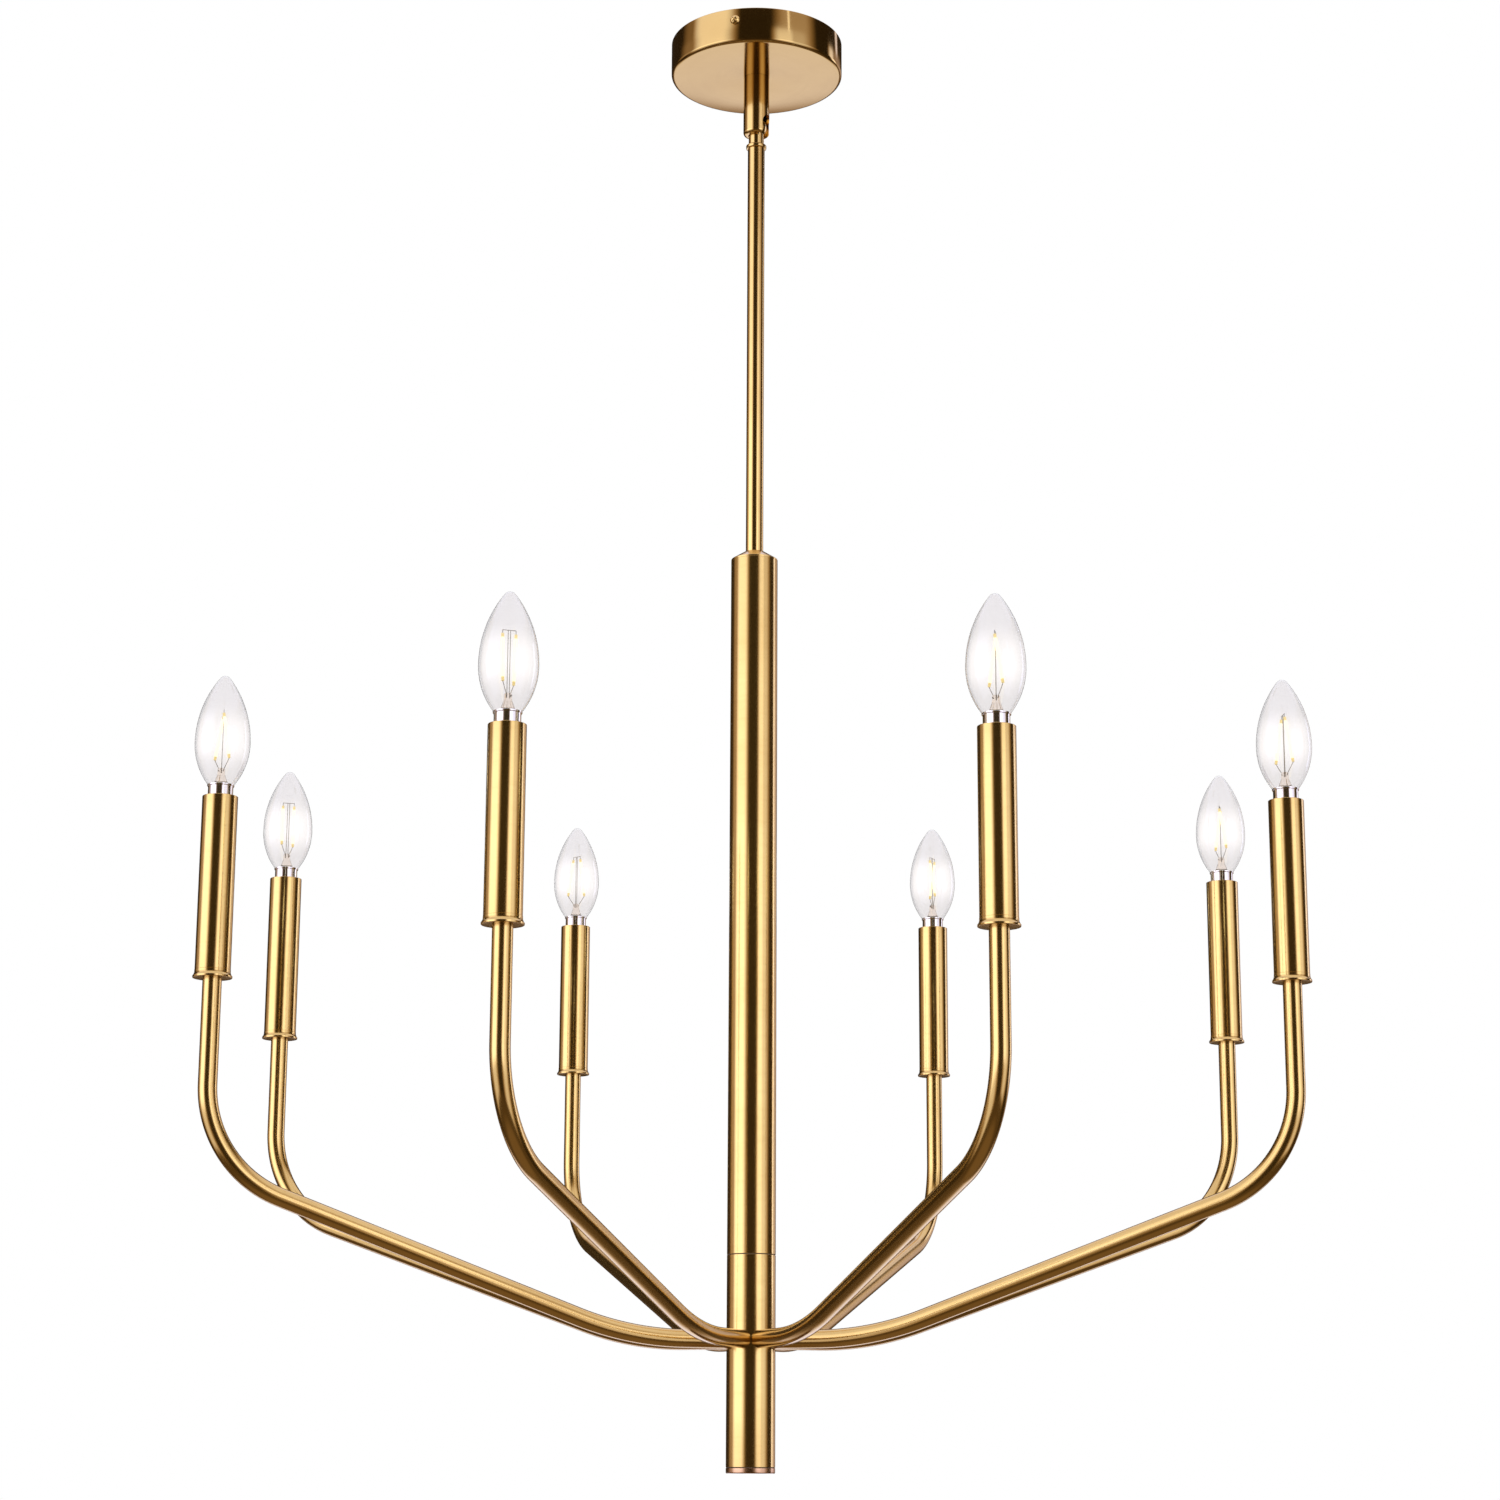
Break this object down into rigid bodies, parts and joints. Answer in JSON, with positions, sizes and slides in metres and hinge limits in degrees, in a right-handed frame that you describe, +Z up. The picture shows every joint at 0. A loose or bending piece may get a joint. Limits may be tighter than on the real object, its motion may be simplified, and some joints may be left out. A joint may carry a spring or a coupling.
{
  "type": "chandelier",
  "caption": "Candle chandelier: round canopy, slotted swivel, thin stem and straight column, with curved arms carrying tall candle sleeves and clear lamps.",
  "frame": {"origin": "middle of the ceiling plane, on the crossbar's top face, half way between the two ceiling box screws", "axes": "+Z up into the ceiling, along the stem and column; -Y is the side the picture is taken from, so the first arm stands 22.5 degrees to its left"},
  "size_m": [0.7094, 0.7094, 1],
  "materials": {
    "brushed_brass": "brushed, aged and lacquered",
    "raw_brass": "as turned",
    "plated_steel": "zinc plated",
    "green_screw": "green dyed zinc plate",
    "nickel_plate": "bright nickel plate",
    "phenolic": "moulded phenolic, satin",
    "lamp_glass": "clear blown glass",
    "end_contact": "tinned contact on a dark insulator"
  },
  "bodies": {
    "ceiling_set": {"crossbar": "plated_steel", "ground_screw": "green_screw", "canopy": "brushed_brass", "canopy_screws": "brushed_brass"},
    "barrel": {"swivel_barrel": "brushed_brass", "canopy_nipple": "plated_steel", "lock_washer": "plated_steel", "canopy_locknut": "plated_steel"},
    "fixture": {"swivel_ball": "brushed_brass", "stem_collar": "brushed_brass", "stem_rod": "brushed_brass", "column_cap": "brushed_brass", "column_tube": "brushed_brass", "column_sleeve": "raw_brass", "hub_tube": "brushed_brass", "arm_cluster": "raw_brass", "centre_pipe": "plated_steel", "pipe_nuts": "plated_steel", "bottom_cap": "brushed_brass", "arm_nipples": "plated_steel", "candle_cups": "brushed_brass", "candle_nipples": "plated_steel", "socket_brackets": "plated_steel", "socket_bodies": "phenolic", "socket_shells": "nickel_plate", "socket_contacts": "raw_brass", "candle_sleeves": "brushed_brass", "arm_1": "brushed_brass", "arm_2": "brushed_brass", "arm_3": "brushed_brass", "arm_4": "brushed_brass", "arm_5": "brushed_brass", "arm_6": "brushed_brass", "arm_7": "brushed_brass", "arm_8": "brushed_brass"},
    "lamp_1_thread": {"lamp_1_contact": "end_contact"},
    "lamp_1": {"lamp_1_glass": "lamp_glass", "lamp_1_base": "nickel_plate"},
    "lamp_2_thread": {"lamp_2_contact": "end_contact"},
    "lamp_2": {"lamp_2_glass": "lamp_glass", "lamp_2_base": "nickel_plate"},
    "lamp_3_thread": {"lamp_3_contact": "end_contact"},
    "lamp_3": {"lamp_3_glass": "lamp_glass", "lamp_3_base": "nickel_plate"},
    "lamp_4_thread": {"lamp_4_contact": "end_contact"},
    "lamp_4": {"lamp_4_glass": "lamp_glass", "lamp_4_base": "nickel_plate"},
    "lamp_5_thread": {"lamp_5_contact": "end_contact"},
    "lamp_5": {"lamp_5_glass": "lamp_glass", "lamp_5_base": "nickel_plate"},
    "lamp_6_thread": {"lamp_6_contact": "end_contact"},
    "lamp_6": {"lamp_6_glass": "lamp_glass", "lamp_6_base": "nickel_plate"},
    "lamp_7_thread": {"lamp_7_contact": "end_contact"},
    "lamp_7": {"lamp_7_glass": "lamp_glass", "lamp_7_base": "nickel_plate"},
    "lamp_8_thread": {"lamp_8_contact": "end_contact"},
    "lamp_8": {"lamp_8_glass": "lamp_glass", "lamp_8_base": "nickel_plate"}
  },
  "joints": [
    {"name": "barrel_turn", "type": "hinge", "parent": "ceiling_set", "child": "barrel", "pos_m": [0, 0, -0.03], "axis": [0, 0, 1], "range_deg": [-170, 170]},
    {"name": "stem_tilt", "type": "hinge", "parent": "barrel", "child": "fixture", "pos_m": [0, 0, -0.06361], "axis": [-0.3827, -0.9239, 0], "range_deg": [0, 45]},
    {"name": "lamp_1_rise", "type": "slide", "parent": "fixture", "child": "lamp_1_thread", "axis": [0, 0, 1], "range_m": [0, 0.0103]},
    {"name": "lamp_1_unscrew", "type": "hinge", "parent": "lamp_1_thread", "child": "lamp_1", "pos_m": [-0.13968, -0.33722, -0.593], "axis": [0, 0, 1], "range_deg": [0, 1440]},
    {"name": "lamp_2_rise", "type": "slide", "parent": "fixture", "child": "lamp_2_thread", "axis": [0, 0, 1], "range_m": [0, 0.0103]},
    {"name": "lamp_2_unscrew", "type": "hinge", "parent": "lamp_2_thread", "child": "lamp_2", "pos_m": [0.13968, -0.33722, -0.593], "axis": [0, 0, 1], "range_deg": [0, 1440]},
    {"name": "lamp_3_rise", "type": "slide", "parent": "fixture", "child": "lamp_3_thread", "axis": [0, 0, 1], "range_m": [0, 0.0103]},
    {"name": "lamp_3_unscrew", "type": "hinge", "parent": "lamp_3_thread", "child": "lamp_3", "pos_m": [0.33722, -0.13968, -0.593], "axis": [0, 0, 1], "range_deg": [0, 1440]},
    {"name": "lamp_4_rise", "type": "slide", "parent": "fixture", "child": "lamp_4_thread", "axis": [0, 0, 1], "range_m": [0, 0.0103]},
    {"name": "lamp_4_unscrew", "type": "hinge", "parent": "lamp_4_thread", "child": "lamp_4", "pos_m": [0.33722, 0.13968, -0.593], "axis": [0, 0, 1], "range_deg": [0, 1440]},
    {"name": "lamp_5_rise", "type": "slide", "parent": "fixture", "child": "lamp_5_thread", "axis": [0, 0, 1], "range_m": [0, 0.0103]},
    {"name": "lamp_5_unscrew", "type": "hinge", "parent": "lamp_5_thread", "child": "lamp_5", "pos_m": [0.13968, 0.33722, -0.593], "axis": [0, 0, 1], "range_deg": [0, 1440]},
    {"name": "lamp_6_rise", "type": "slide", "parent": "fixture", "child": "lamp_6_thread", "axis": [0, 0, 1], "range_m": [0, 0.0103]},
    {"name": "lamp_6_unscrew", "type": "hinge", "parent": "lamp_6_thread", "child": "lamp_6", "pos_m": [-0.13968, 0.33722, -0.593], "axis": [0, 0, 1], "range_deg": [0, 1440]},
    {"name": "lamp_7_rise", "type": "slide", "parent": "fixture", "child": "lamp_7_thread", "axis": [0, 0, 1], "range_m": [0, 0.0103]},
    {"name": "lamp_7_unscrew", "type": "hinge", "parent": "lamp_7_thread", "child": "lamp_7", "pos_m": [-0.33722, 0.13968, -0.593], "axis": [0, 0, 1], "range_deg": [0, 1440]},
    {"name": "lamp_8_rise", "type": "slide", "parent": "fixture", "child": "lamp_8_thread", "axis": [0, 0, 1], "range_m": [0, 0.0103]},
    {"name": "lamp_8_unscrew", "type": "hinge", "parent": "lamp_8_thread", "child": "lamp_8", "pos_m": [-0.33722, -0.13968, -0.593], "axis": [0, 0, 1], "range_deg": [0, 1440]}
  ],
  "couplings": [
    {"joint": "lamp_1_rise", "follows": "lamp_1_unscrew", "m_per_rad": 0.00040425},
    {"joint": "lamp_2_rise", "follows": "lamp_2_unscrew", "m_per_rad": 0.00040425},
    {"joint": "lamp_3_rise", "follows": "lamp_3_unscrew", "m_per_rad": 0.00040425},
    {"joint": "lamp_4_rise", "follows": "lamp_4_unscrew", "m_per_rad": 0.00040425},
    {"joint": "lamp_5_rise", "follows": "lamp_5_unscrew", "m_per_rad": 0.00040425},
    {"joint": "lamp_6_rise", "follows": "lamp_6_unscrew", "m_per_rad": 0.00040425},
    {"joint": "lamp_7_rise", "follows": "lamp_7_unscrew", "m_per_rad": 0.00040425},
    {"joint": "lamp_8_rise", "follows": "lamp_8_unscrew", "m_per_rad": 0.00040425}
  ]
}
